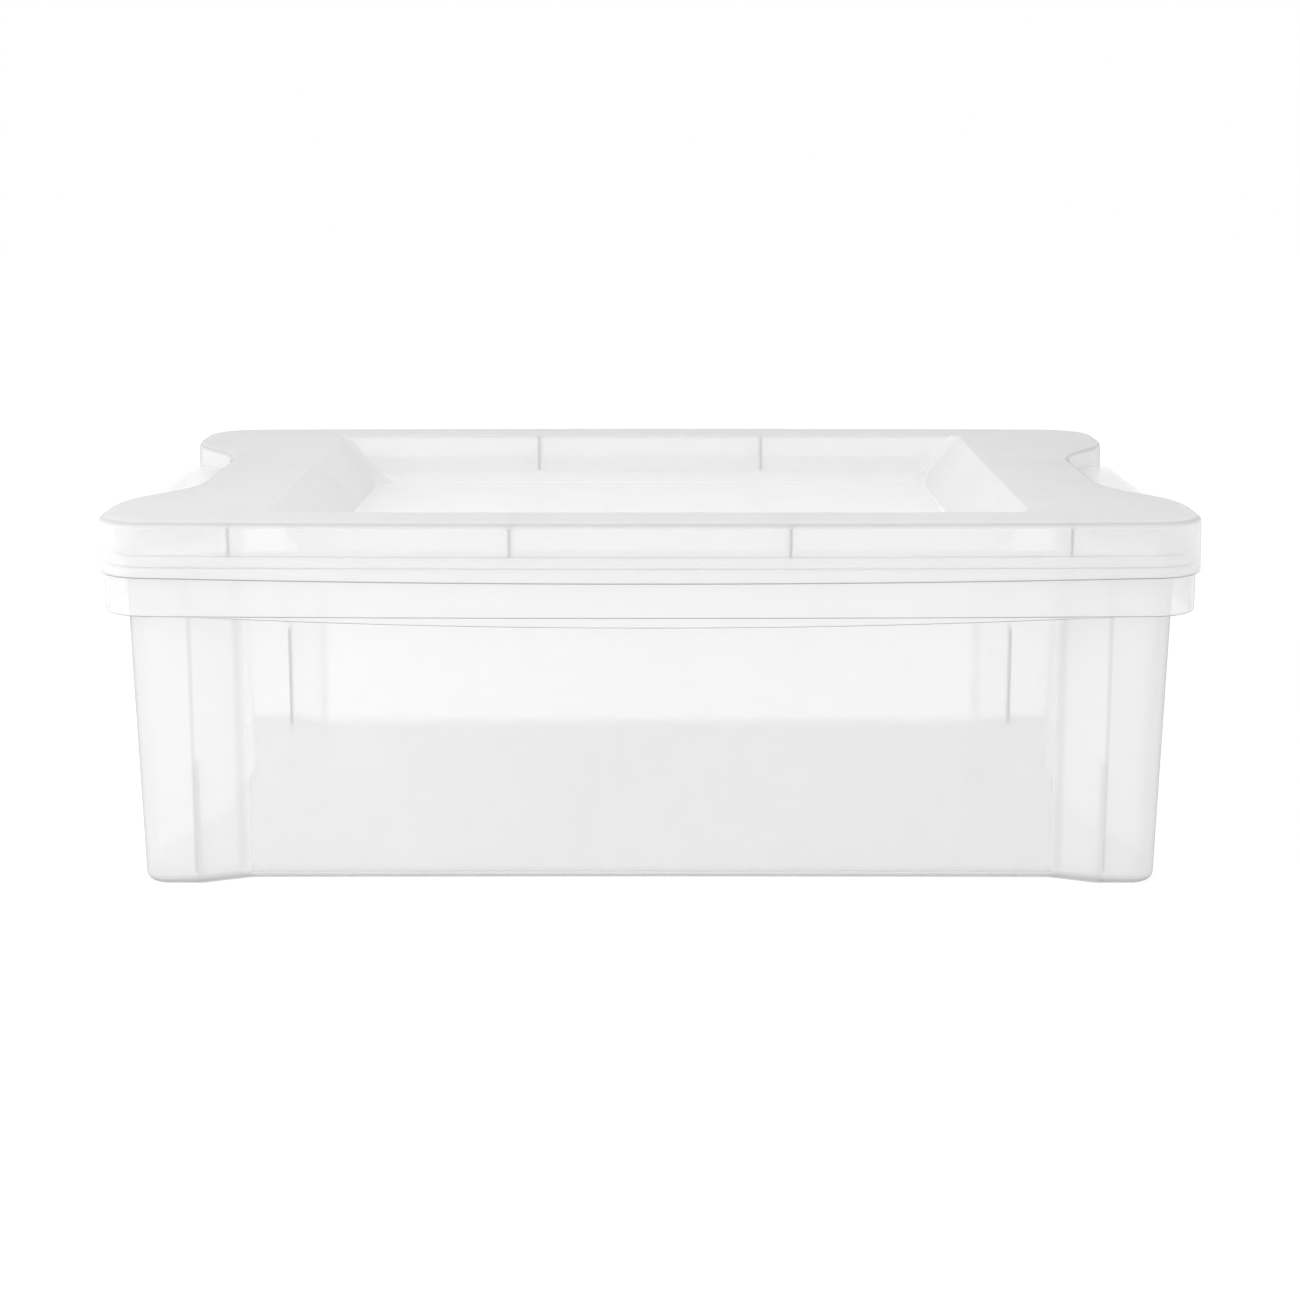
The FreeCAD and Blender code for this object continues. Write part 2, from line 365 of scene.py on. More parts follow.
    def rectangle(self, half_x: float, half_y: float, radius: float) -> Outline:
        """Rectangle with round corners, its points spread along each side as those of the bowed outline are.

        Args:
            half_x: half its length.
            half_y: half its width.
            radius: radius of its corners.

        Returns:
            The outline.
        """
        runs = []
        for points, _, still in self.short_side(self.waist_inset):
            y = points[:, 1] * (half_y - radius) / self.corner_y
            flat = np.column_stack([np.full_like(y, half_x), y])
            runs.append((flat, np.tile([1.0, 0.0], (len(y), 1)), still))
        runs.append(arc((half_x - radius, half_y - radius), radius, 0.0, 90.0, self.corner_steps))
        for stops in self.long_side_stops():
            x = stops * (half_x - radius) / self.long_side_stops()[0][0]
            normals = np.tile([0.0, 1.0], (len(x), 1))
            runs.append((np.column_stack([x, np.full_like(x, half_y)]), normals, np.zeros(len(x))))
        return Outline.from_quarter(runs)


def arched(outline: Outline, level: float, sag: float, half_length: float) -> np.ndarray:
    """Heights along a lower edge: level less sag times 1 - (x / half_length) squared, on long sides.

    Args:
        outline: the edge's outline.
        level: height of the edge at the ends.
        sag: how far its middle hangs down.
        half_length: half the length of the arch.

    Returns:
        One height for each point of the outline.
    """
    share = 1.0 - np.square(outline.points[:, 0] / half_length)
    return level - sag * np.clip(share, 0.0, 1.0)


def loop_quads(rows: int, count: int) -> np.ndarray:
    """Corners of the faces between rows of points: two neighbours in a row and the two above them.

    Args:
        rows: number of rows.
        count: number of points in each row, which is a closed loop.

    Returns:
        The numbers of four points for each face, row by row.
    """
    around = np.arange(count)
    following = np.roll(around, -1)
    row = np.arange(rows - 1)[:, None] * count
    corners = (row + around, row + following, row + count + following, row + count + around)
    return np.stack(corners, axis=-1).reshape(-1, 4)


@dataclass(frozen=True)
class Shape:
    """A mesh: points in millimetres, faces, how marked a fold each point is on, and each face's finish."""

    points: np.ndarray
    faces: list[list[int]]
    folds: np.ndarray
    finishes: np.ndarray


@dataclass
class Skin:
    """A closed surface through rings of matching points, from a pole at its start to one at its end."""

    steps: int = 5
    straight: float = 0.001
    rings: list[np.ndarray] = field(default_factory=list)
    radii: list[np.ndarray] = field(default_factory=list)
    finishes: list[np.ndarray] = field(default_factory=list)
    folds: list[tuple[Height, Height]] = field(default_factory=list)

    def add(self, ring: np.ndarray, radius: Height = 0.0, finish: int | np.ndarray = 0, fold: Height = 0.0,
            bends: Height = 0.0) -> None:
        """Adds the next ring.

        Args:
            ring: its points.
            radius: radius on which the surface turns there, for all points or for each.
            finish: number of the finish from there to the next ring, for all points or for each.
            fold: how marked a fold the middle of the turn is, from 0 to 1, for all points or for each.
            bends: how marked a fold each point is on anyway.
        """
        self.rings.append(ring)
        self.radii.append(np.broadcast_to(radius, len(ring))[:, None])
        self.finishes.append(np.broadcast_to(finish, len(ring)))
        self.folds.append((fold, bends))

    def rounded(self, index: int) -> np.ndarray:
        """Rings of the arc at one turn of the surface, for all its points at once.

        Each point's arc lies between the directions to the rings before and after it. Its centre is on the
        line that halves their angle, and its points are the two end radii mixed by the sines of their shares
        of the angle. Where the surface runs straight on, a hair's turn is kept so that no length is 0.

        Args:
            index: number of the ring at the turn.

        Returns:
            The arc's rings, one after the other.
        """
        here, radius = self.rings[index], self.radii[index]
        if radius.max() == 0.0 or index in (0, len(self.rings) - 1):
            return here[None]
        back, ahead = self.rings[index - 1] - here, self.rings[index + 1] - here
        back = back / np.linalg.norm(back, axis=1, keepdims=True)
        ahead = ahead / np.linalg.norm(ahead, axis=1, keepdims=True)
        half = np.arccos(np.clip(np.sum(back * ahead, axis=1, keepdims=True), -1.0, 1.0)) / 2
        half = np.minimum(half, math.pi / 2 - self.straight)
        middle = back + ahead
        length = np.maximum(np.linalg.norm(middle, axis=1, keepdims=True), self.straight)
        centre = here + middle / length * radius / np.sin(half)
        reach = radius / np.tan(half)
        first, last = here + back * reach - centre, here + ahead * reach - centre
        angle = math.pi - 2 * half
        share = np.linspace(0.0, 1.0, self.steps + 1)[:, None, None]
        return centre + (np.sin((1 - share) * angle) * first + np.sin(share * angle) * last) / np.sin(angle)

    def mesh(self) -> Shape:
        """Shape of the surface: faces with four sides between rings, and with three round the poles.

        Returns:
            The shape, whose last two points are the poles, each the mean of the ring next to it.
        """
        turns = [self.rounded(index) for index in range(len(self.rings))]
        grid = np.concatenate(turns)
        rows, count = grid.shape[:2]
        folds = np.concatenate([np.broadcast_to(bends, count) + fold * hump(len(turn))[:, None]
                                for turn, (fold, bends) in zip(turns, self.folds)])
        finish = np.repeat(self.finishes, [len(turn) for turn in turns], axis=0)
        quads = loop_quads(rows, count)
        pole = np.full(count, rows * count)
        first_fan = np.column_stack([pole, quads[:count, 1], quads[:count, 0]])
        last_fan = np.column_stack([quads[-count:, 3], quads[-count:, 2], pole + 1])
        points = np.concatenate([grid.reshape(-1, 3), grid[[0, -1]].mean(axis=1)])
        faces = quads.tolist() + first_fan.tolist() + last_fan.tolist()
        finishes = np.concatenate([finish[:-1], finish[[0, -1]]]).ravel()
        return Shape(points, faces, np.append(folds.ravel(), (0.0, 0.0)), finishes)


def plate(corners: np.ndarray, x: float, thickness: float, marked: tuple[int, ...]) -> Shape:
    """Upright plate: a polygon in Y and Z carried along X through its thickness, and closed at both faces.

    Args:
        corners: the polygon's corners.
        x: X of the plate's middle.
        thickness: its thickness.
        marked: numbers of the polygon's edges that show as a line through the plastic.

    Returns:
        The shape, with finish 1 on the marked edges and 0 elsewhere.
    """
    ahead = np.roll(corners, -1, axis=0)
    area = np.sum(corners[:, 0] * ahead[:, 1] - ahead[:, 0] * corners[:, 1])
    count = len(corners)
    around = np.arange(count)
    turned, edges = (corners, around) if area > 0 else (corners[::-1], (count - 2 - around) % count)
    offsets = np.repeat([x - thickness / 2, x + thickness / 2], count)
    points = np.column_stack([offsets, np.tile(turned, (2, 1))])
    faces = loop_quads(2, count).tolist() + [around[::-1].tolist(), (count + around).tolist()]
    return Shape(points, faces, np.zeros(len(points)), np.append(np.isin(edges, marked), (0, 0)))


def strip(path: np.ndarray, normals: np.ndarray, section: np.ndarray) -> Shape:
    """Bar of one section carried along a path: path point plus the section's offset times the normal.

    Args:
        path: points of the path in plan.
        normals: outward normals there.
        section: its corners as offset and height, counterclockwise as seen looking along the path.

    Returns:
        The bar's shape, with both ends closed.
    """
    flat = path[:, None, :] + section[None, :, :1] * normals[:, None, :]
    height = np.broadcast_to(section[None, :, 1:], flat.shape[:2] + (1,))
    grid = np.concatenate([flat, height], axis=2)
    rows, count = grid.shape[:2]
    around = np.arange(count)
    quads = loop_quads(rows, count)[:, [0, 3, 2, 1]]
    faces = quads.tolist() + [around.tolist(), (rows * count - 1 - around).tolist()]
    return Shape(grid.reshape(-1, 3), faces, np.zeros(rows * count), np.zeros(len(faces)))


def make_piece(name: str, shape: Shape, materials: list[Material], body: str,
               bevel: float = 0.0) -> Object:
    """Makes a mesh object that rides on a body of the frame.

    Args:
        name: name of the piece.
        shape: its shape.
        materials: its finishes, in the order of their numbers.
        body: body that carries it.
        bevel: width of the bevel along its edges in millimetres, or 0 for none.

    Returns:
        The object, at the origin.
    """
    mesh = bpy.data.meshes.new(name)
    mesh.from_pydata((shape.points * MM).tolist(), [], shape.faces)
    for material in materials:
        mesh.materials.append(material)
    mesh.polygons.foreach_set("material_index", shape.finishes.astype(np.int32))
    mesh.attributes.new("fold", "FLOAT", "POINT").data.foreach_set("value", shape.folds)
    mesh.shade_smooth()
    mesh.set_sharp_from_angle(angle=math.radians(SHARP_DEGREES))
    piece = bpy.data.objects.new(name, mesh)
    bpy.context.scene.collection.objects.link(piece)
    if bevel > 0.0:
        edge = piece.modifiers.new("edge", "BEVEL")
        edge.width = bevel * MM
        edge.segments = BEVEL_SEGMENTS
        edge.limit_method = "ANGLE"
    smooth = piece.modifiers.new("even_faces", "WEIGHTED_NORMAL")
    smooth.keep_sharp = True
    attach(piece, body)
    LOG.info("%s: %d points, %d faces, on %s", name, len(shape.points), len(shape.faces), body)
    return piece


@dataclass(frozen=True)
class Noise:
    """An even random pattern: the size of its patches, how finely it goes on, and how warped it is."""

    patch_mm: float
    detail: float
    roughness: float = 0.5
    distortion: float = 0.0

    def inputs(self, place: NodeSocket) -> dict[str, Any]:
        """What the noise texture's sockets take, laid out by the coordinates of place."""
        return {"Vector": place, "Scale": 1.0 / (self.patch_mm * MM), "Detail": self.detail,
                "Roughness": self.roughness, "Distortion": self.distortion}


@dataclass(frozen=True)
class NaturalPolypropylene:
    """Injection-moulded natural polypropylene: a milky, see-through wall that closes up when seen on edge.

    The eye gets a soft white haze face on, a greyer line along every edge and fold, a broad satin gloss that
    grows towards grazing sight, and a slight cloudiness from the flow of the melt. The grey lines are
    painted:
    partly the thicker plastic seen there, partly painted shade.
    """

    finish: str
    haze: float
    edge_haze: float
    roughness: float
    glow: float = 0.55
    gloss: float = 0.5
    edge_power: float = 2.0
    line_power: float = 14.0
    fold_haze: float = 0.85
    tint: str = "#FBFBFB"
    cloud_tint: str = "#FDFDFD"
    line_and_shade_tint: str = "#8E8E90"
    clear_tint: str = "#FEFEFE"
    cloud: Noise = Noise(90.0, 3.0, 0.5, 0.6)
    cloud_depth: float = 0.06
    cloud_span: tuple[float, float] = (0.3, 0.7)
    ripple: Noise = Noise(22.0, 1.0, 0.4)
    ripple_depth_mm: float = 0.008
    grain: Noise = Noise(1.6, 2.0, 0.6)
    grain_depth_mm: float = 0.004
    ior: float = 1.49
    gloss_head_on: float = 0.04
    gloss_power: float = 5.0

    def build(self) -> Material:
        """Makes the material: clear and milky plastic mixed, milkier and greyer towards grazing sight, the
        grey partly painted shade.

        Returns:
            The material.
        """
        material = bpy.data.materials.new(f"natural_polypropylene_{self.finish}")
        material.use_nodes = True
        tree = material.node_tree
        tree.nodes.clear()
        add = partial(add_node, tree)
        place = add("TexCoord").outputs["Object"]
        cloud = add("TexNoise", self.cloud.inputs(place))
        ripple = add("TexNoise", self.ripple.inputs(place))
        # Mould texture is finer than a pixel: drawn at 1.6 mm so that the gloss still breaks up.
        grain = add("TexNoise", self.grain.inputs(place))
        waves = add("Bump", {"Distance": self.ripple_depth_mm * MM, "Height": ripple})
        normal = add("Bump", {"Distance": self.grain_depth_mm * MM, "Height": grain, "Normal": waves})
        # Painted shade: edges seen at a grazing angle and marked folds are mixed towards a grey, partly for
        # the thicker plastic there.
        facing = add("LayerWeight").outputs["Facing"]
        fold = add("Attribute", attribute_name="fold").outputs["Fac"]
        line_share = add("Math", {0: facing, 1: self.line_power}, operation="POWER")
        edge = add("Math", {0: line_share, 1: fold}, operation="MAXIMUM")
        tone = add("Mix", data_type="RGBA", inputs={
            0: cloud, MIX_A: linear(self.tint), MIX_B: linear(self.cloud_tint)}).outputs[MIX_OUT]
        colour = add("Mix", data_type="RGBA", inputs={
            0: edge, MIX_A: tone, MIX_B: linear(self.line_and_shade_tint)}).outputs[MIX_OUT]
        bent = add("Math", {0: facing, 1: self.edge_power}, operation="POWER")
        depth = add("MapRange", {"Value": bent, "To Min": self.haze, "To Max": self.edge_haze})
        patch = add("MapRange", {
            "Value": cloud, "From Min": self.cloud_span[0], "From Max": self.cloud_span[1],
            "To Min": 1.0 - self.cloud_depth, "To Max": 1.0 + self.cloud_depth})
        plain = add("Math", {0: depth, 1: patch}, operation="MULTIPLY", use_clamp=True)
        thick = add("Math", {0: fold, 1: self.fold_haze}, operation="MULTIPLY")
        milk = add("Math", {0: plain, 1: thick}, operation="MAXIMUM")
        skin = add("BsdfPrincipled", {
            "Base Color": colour, "Roughness": self.roughness, "IOR": self.ior,
            "Specular IOR Level": self.gloss, "Normal": normal})
        through = add("BsdfTranslucent", {"Color": colour, "Normal": normal})
        milky = add("MixShader", {0: self.glow, 1: skin, 2: through})
        clear = add("BsdfTransparent", {"Color": linear(self.clear_tint)})
        shine = add("BsdfGlossy", {"Roughness": self.roughness, "Normal": normal})
        grazing = add("Math", {0: facing, 1: self.gloss_power}, operation="POWER")
        mirror = add("MapRange", {
            "Value": grazing, "To Min": self.gloss_head_on * self.gloss, "To Max": self.gloss})
        window = add("MixShader", {0: mirror, 1: clear, 2: shine})
        wall = add("MixShader", {0: milk, 1: window, 2: milky})
        add("OutputMaterial", {"Surface": wall})
        return material


# Panels come from polished steel: a clear skin through which the far side shows.
TUB_PANEL = NaturalPolypropylene("polished", haze=0.28, edge_haze=0.60, roughness=0.26, line_power=6.0)
# Short sides and the posts' inside are satin: a little duller than the panels.
TUB_SIDES = NaturalPolypropylene("satin_side", haze=0.30, edge_haze=0.55, roughness=0.30, line_power=16.0)
# Posts are textured on the outside: frosted, with a grey painted towards their outline, partly the thicker
# plastic seen on edge and partly painted shade.
TUB_POSTS = NaturalPolypropylene(
    "textured", haze=0.72, edge_haze=0.97, roughness=0.40, glow=0.66, edge_power=1.5, line_power=3.8,
    cloud_depth=0.03, tint="#F7F7F7", cloud_tint="#F8F8F8", line_and_shade_tint="#A6A6A9")
# The base is thicker than the walls: a greyer, more closed sheet.
TUB_FLOOR = NaturalPolypropylene(
    "base", haze=0.45, edge_haze=0.62, roughness=0.30, line_power=20.0, cloud_depth=0.03,
    tint="#E5E5E5", cloud_tint="#E7E7E7")
# The rim is satin, and its steps and lower edges carry thin dark painted lines, also seen through the lid's
# skirt: partly the folds, partly painted shade under the skirt and lip.
TUB_RIM = NaturalPolypropylene(
    "satin", haze=0.42, edge_haze=0.85, roughness=0.40, fold_haze=1.0, line_and_shade_tint="#707072")
# Handles are thin and polished: nearly glass clear.
HANDLE_GRIP = NaturalPolypropylene(
    "clear_grip", haze=0.12, edge_haze=0.30, roughness=0.30, line_power=20.0)
# The ribs' free edges are painted dark grey: partly their full depth seen on edge, partly painted shade of
# ribs lit from behind.
RIB_DEPTH_AND_SHADE = NaturalPolypropylene(
    "rib_edge_depth_and_shade", haze=0.60, edge_haze=0.80, roughness=0.35, tint="#8E8E90", cloud_tint="#949496")
# The lid's top and waist are sandblasted: an even, dull grey white that hides what is below.
LID_TOP = NaturalPolypropylene(
    "frosted", haze=0.88, edge_haze=1.00, roughness=0.45, edge_power=1.4, gloss=0.3, cloud_depth=0.03,
    tint="#F4F4F4", cloud_tint="#F5F5F5")
# The recess's sloped ends are as frosted as the top, and painted a shade lighter: painted light that lifts
# the slope turned away from the left light.
LID_ENDS_PAINTED_LIGHTER = replace(LID_TOP, finish="frosted_slope_painted_lighter", tint="#F6F6F6", cloud_tint="#F7F7F7")
# Recess walls and skirt are satin: webs and rim show through them as lines.
LID_RECESS = NaturalPolypropylene(
    "recess", haze=0.52, edge_haze=0.80, roughness=0.40, tint="#FAFAFA", cloud_tint="#FBFBFB")
LID_SKIRT = NaturalPolypropylene(
    "skirt", haze=0.37, edge_haze=0.92, roughness=0.40, glow=0.42, cloud_depth=0.03,
    tint="#FAFAFA", cloud_tint="#FBFBFB")
# The sunken panel is polished, and painted whiter than the strip round it: a painted sheen for the brighter
# light that it gives back.
LID_PANEL = NaturalPolypropylene(
    "gloss_panel", haze=0.80, edge_haze=0.95, roughness=0.20, glow=0.25, line_power=40.0,
    cloud_depth=0.03, tint="#F8F8F8", cloud_tint="#F9F9F9")
# Webs are thin and clear: only where they join a wall does a grey line show.
CLEAR_WEB = NaturalPolypropylene("clear_web", haze=0.08, edge_haze=0.20, roughness=0.35, line_power=30.0)
WEB_ROOT = NaturalPolypropylene(
    "web_root", haze=0.65, edge_haze=0.80, roughness=0.35, tint="#B2B2B4", cloud_tint="#B6B6B8")


@dataclass(frozen=True)
class PaleFloor:
    """Matt white studio board, lit evenly so that it runs into the background, with a faint contact shade.

    Its glow is painted a little brighter on the left, as if light fell on it from the left.
    """

    name: str = "matt_white_studio_board"
    colour: str = "#FFFFFF"
    evenness: float = 0.86
    painted_left_light: float = 0.03
    painted_light_half: float = 0.3
    shade: float = 0.20
    fleck: Noise = Noise(6.0, 2.0)
    fleck_depth_mm: float = 0.05
    fleck_strength: float = 0.2

    def build(self) -> Material:
        """Makes the material: light from the board, painted a little brighter on the left, plus a small
        share of matt shading.

        Returns:
            The material.
        """
        material = bpy.data.materials.new(self.name)
        material.use_nodes = True
        tree = material.node_tree
        tree.nodes.clear()
        add = partial(add_node, tree)
        place = add("TexCoord").outputs["Object"]
        fleck = add("TexNoise", self.fleck.inputs(place))
        bump = add("Bump", {
            "Strength": self.fleck_strength, "Distance": self.fleck_depth_mm * MM, "Height": fleck})
        axes = add("SeparateXYZ", {0: place}).outputs
        # Painted light: the board's glow leans brighter on the left than on the right.
        level = add("MapRange", {
            "Value": axes[0], "From Min": -self.painted_light_half, "From Max": self.painted_light_half,
            "To Min": self.evenness + self.painted_left_light, "To Max": self.evenness - self.painted_left_light})
        even = add("Emission", {"Color": linear(self.colour), "Strength": level})
        matt = add("BsdfDiffuse", {"Color": (self.shade, self.shade, self.shade, 1.0), "Normal": bump})
        both = add("AddShader", {0: even, 1: matt})
        add("OutputMaterial", {"Surface": both})
        return material


@dataclass
class Tub:
    """The tub: drafted walls with corner posts, a stepped rim with a skirt, two handles and nesting ribs."""

    plan: Plan
    rim_top: float
    handle_top: float
    handle_x: float
    body: str = "tub"
    slot: str = "tub_plastic"
    wall: float = 1.8
    floor: float = 2.2
    draft: float = 1.6
    bottom_radius: float = 5.0
    inside_radius: float = 4.0
    rim_grow: float = -2.4
    rim_flange: float = 11.6
    rim_wall: float = 2.0
    rim_skirt: float = 30.8
    rim_step_drop: float = 5.4
    rim_step_width: float = 3.0
    lip_setback: float = 0.9
    lip_arch: float = 5.0
    lip_radius: float = 0.6
    lip_gap: float = 0.05
    edge_radius: float = 0.8
    wall_start: float = 8.0
    under_share: float = 0.9
    floor_share: float = 0.88
    bend_fold: float = 0.35
    back_bend: float = 2.0
    # Grey line on the rounded foot: partly its fold, partly painted contact shade; weaker on the back side.
    foot_fold_and_shade: float = 0.8
    back_foot_fold_and_shade: float = 0.4
    handle_clearance: float = 1.5
    handle_reach: float = 92.0
    handle_end: float = 5.0
    handle_wall: float = 2.0
    handle_radius: float = 2.0
    handle_roof_radius: float = 0.6
    handle_lip_radius: float = 0.3
    handle_margin: float = 1.5
    handle_steps: int = 16
    ledge_bevel: float = 0.3
    handle_drop: float = 31.2
    ledge_drop: float = 21.2
    rib_height: float = 64.0
    rib_depth: float = 6.0
    rib_thickness: float = 2.0
    rib_bevel: float = 0.4

    def body_grow(self, z: float) -> float:
        """Offset of the outer wall at height z: it narrows downwards by the draft angle."""
        return self.rim_grow - self.rim_flange - (self.rim_top - z) * math.tan(math.radians(self.draft))

    def shell(self) -> Shape:
        """Surface of floor, walls and rim in one: from under the floor, up, over the rim and down inside.

        Each ring is the walls' or the rim's outline moved outwards by an offset, at a height; the lip's
        rings hang down in a shallow arch along the long sides. Posts are textured on the outside only.

        Returns:
            The shape.
        """
        plan = self.plan
        walls, rim = plan.panelled(), plan.bowed()
        across, along = np.abs(walls.points.T)
        posts = np.where(across > plan.post_x - plan.panel_sweep, TubFinish.POSTS, TubFinish.PANEL)
        sides = np.where(along < plan.lobe_y, TubFinish.SIDES, posts)
        inside = np.where(sides == TubFinish.POSTS, TubFinish.SIDES, sides)
        bends = np.where(walls.points[:, 1] > 0, self.back_bend, 1.0) * self.bend_fold * walls.folds
        # Painted contact shade along the foot, together with its fold: stronger on the front than on the
        # back.
        foot_shade_line = np.where(walls.points[:, 1] > plan.corner_y, self.back_foot_fold_and_shade, self.foot_fold_and_shade)
        outer, inner = self.rim_grow, self.rim_grow - self.rim_wall
        step = self.rim_top - self.rim_step_drop
        skirt = self.rim_top - self.rim_skirt
        lip = arched(rim, skirt - self.lip_gap, self.lip_arch, plan.waist_x - self.rim_flange)
        under = self.rim_top - self.rim_wall
        small = self.edge_radius
        skin = Skin()
        foot_grow, sole = self.body_grow(0), self.body_grow(self.floor) - self.wall
        lip_radius = np.minimum(self.lip_radius, (skirt - lip) / 2)
        skin.add(walls.ring(foot_grow, 0.0, self.under_share), 0.0, TubFinish.FLOOR)
        skin.add(walls.ring(foot_grow, 0.0), self.bottom_radius, sides, foot_shade_line)
        skin.add(walls.ring(self.body_grow(self.wall_start), self.wall_start), 0.0, sides, 0.0, bends)
        skin.add(walls.ring(self.body_grow(under), under), small, TubFinish.RIM, 0.0, bends)
        # Rings with a fold of 1 paint a dark line on the rim's edges: partly the fold, partly painted shade
        # under the skirt and the lip.
        for grow, z, radius, fold in (
                (inner - self.rim_step_width, under, small / 2, 0.0),
                (inner - self.rim_step_width, step - self.rim_wall, small / 2, 0.0),
                (inner, step - self.rim_wall, small / 2, 0.0),
                (inner, lip, 0.0, 0.0),
                (outer - self.lip_setback, lip, lip_radius, 1.0),
                (outer - self.lip_setback, skirt, 0.0, 0.0),
                (outer, skirt, small, 1.0),
                (outer, step, small, 1.0),
                (outer - self.rim_step_width, step, small / 2, 0.0),
                (outer - self.rim_step_width, self.rim_top, small, 1.0)):
            skin.add(rim.ring(grow, z), radius, TubFinish.RIM, fold)
        skin.add(walls.ring(self.body_grow(self.rim_top) - self.wall, self.rim_top), small, inside)
        skin.add(walls.ring(sole, self.floor), self.inside_radius, TubFinish.FLOOR)
        skin.add(walls.ring(sole, self.floor, self.floor_share), 0.0, TubFinish.FLOOR)
        return skin.mesh()

    def handle_loop(self) -> tuple[np.ndarray, np.ndarray]:
        """Plan loop of the right handle: straight outside, half an ellipse at each end, along the waist.

        Returns:
            The loop's points, counterclockwise, and for each how far it is on the inner side, from 0 to 1.
        """
        rim = self.plan.bowed()
        inside = rim.points + self.handle_clearance * rim.normals
        near = (rim.points[:, 0] > 0) & (np.abs(inside[:, 1]) <= self.handle_reach)
        edge = inside[near]
        edge = edge[np.argsort(-edge[:, 1])]
        reach, count = edge[0, 1], self.handle_steps
        middle, half = (self.handle_x + edge[0, 0]) / 2, (self.handle_x - edge[0, 0]) / 2
        angle = np.linspace(0.0, math.pi, count)[1:-1]
        back = np.column_stack([middle + half * np.cos(angle), reach + self.handle_end * np.sin(angle)])
        outside = np.linspace(-reach, reach, 2 * count)
        outer = np.column_stack([np.full_like(outside, self.handle_x), outside])
        share = (1.0 - np.cos(angle)) / 2
        loop = np.concatenate([outer, back, edge, (back * (1, -1))[::-1]])
        inner = np.concatenate([np.zeros(len(outer)), share, np.ones(len(edge)), share[::-1]])
        return loop, inner

    def handle(self, side: Side) -> Shape:
        """Hollow handle: from its ceiling out, down inside, round its lower edge, up outside, over its top.

        The inner offset is the loop's point less the wall times the normal, which comes from the neighbours
        on each side; the lower edge rises from the outside to the ledge's height on the inner side.

        Args:
            side: the short side that it is on.

        Returns:
            The shape.
        """
        loop, inner = self.handle_loop()
        if side is Side.LEFT:
            loop, inner = (loop * (-1, 1))[::-1], inner[::-1]
        along = np.roll(loop, -1, axis=0) - np.roll(loop, 1, axis=0)
        length = np.linalg.norm(along, axis=1, keepdims=True)
        normals = np.column_stack([along[:, 1], -along[:, 0]]) / length
        plan = Outline(loop, normals, np.zeros(len(loop)))
        rise = self.handle_drop - self.ledge_drop - self.handle_wall
        bottom = self.handle_top - self.handle_drop + inner * rise
        roof = self.handle_top - self.handle_wall
        skin = Skin()
        skin.add(plan.ring(-self.handle_wall - self.handle_margin, roof))
        skin.add(plan.ring(-self.handle_wall, roof), self.handle_roof_radius)
        skin.add(plan.ring(-self.handle_wall, bottom), self.handle_lip_radius)
        skin.add(plan.ring(0.0, bottom), self.handle_lip_radius)
        skin.add(plan.ring(0.0, self.handle_top), self.handle_radius)
        skin.add(plan.ring(-self.handle_radius - self.handle_margin, self.handle_top))
        return skin.mesh()

    def ledge(self, side: Side) -> Shape:
        """Ledge between rim and handle: a flat bar carried along the waist.

        Args:
            side: the short side that it is on.

        Returns:
            The shape.
        """
        rim = self.plan.bowed()
        near = (rim.points[:, 0] > 0) & (np.abs(rim.points[:, 1]) <= self.handle_reach)
        order = np.argsort(rim.points[near][:, 1])
        path, normals = rim.points[near][order], rim.normals[near][order]
        top = self.handle_top - self.ledge_drop
        low, high = self.rim_grow - self.rim_wall / 2, self.handle_clearance + self.handle_wall / 2
        under = top - self.handle_wall
        section = np.array([(low, under), (high, under), (high, top), (low, top)])
        if side is Side.LEFT:
            return strip((path * (-1, 1))[::-1], (normals * (-1, 1))[::-1], section)
        return strip(path, normals, section)

    def rib(self, side: Side, long: Long) -> Shape:
        """Nesting rib inside a corner post: it follows the drafted wall, and its free edge is upright.

        Args:
            side: short side of its post.
            long: long side of its post.

        Returns:
            The shape.
        """
        z = np.array([self.floor / 2, self.rib_height])
        outer = self.plan.half_depth + np.array([self.body_grow(h) for h in z]) - self.wall / 2
        inner = self.plan.half_depth + self.body_grow(0) - self.wall - self.rib_depth
        corners = np.array([(outer[0], z[0]), (outer[1], z[1]), (inner, z[1]), (inner, z[0])])
        x = side.value * (self.plan.post_x - self.rib_thickness)
        # The free edge takes the dark grey that is partly painted shade.
        free_edge = 2
        return plate(corners * (long.value, 1), x, self.rib_thickness, (free_edge,))

    def build(self) -> None:
        """Makes every piece of the tub in its plastics."""
        panel, rim, posts, floor, ends, grip, free = (plastic.build() for plastic in (
            TUB_PANEL, TUB_RIM, TUB_POSTS, TUB_FLOOR, TUB_SIDES, HANDLE_GRIP, RIB_DEPTH_AND_SHADE))
        shell = make_piece("tub_shell", self.shell(), [panel, rim, posts, floor, ends], self.body)
        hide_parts("tub")
        for side in Side:
            tag = side.name.lower()
            make_piece(f"tub_handle_{tag}", self.handle(side), [grip], self.body)
            make_piece(f"tub_ledge_{tag}", self.ledge(side), [grip], self.body,
                       self.ledge_bevel)
            for long in Long:
                name = f"tub_rib_{long.name.lower()}_{tag}"
                make_piece(name, self.rib(side, long), [panel, free], self.body,
                           self.rib_bevel)


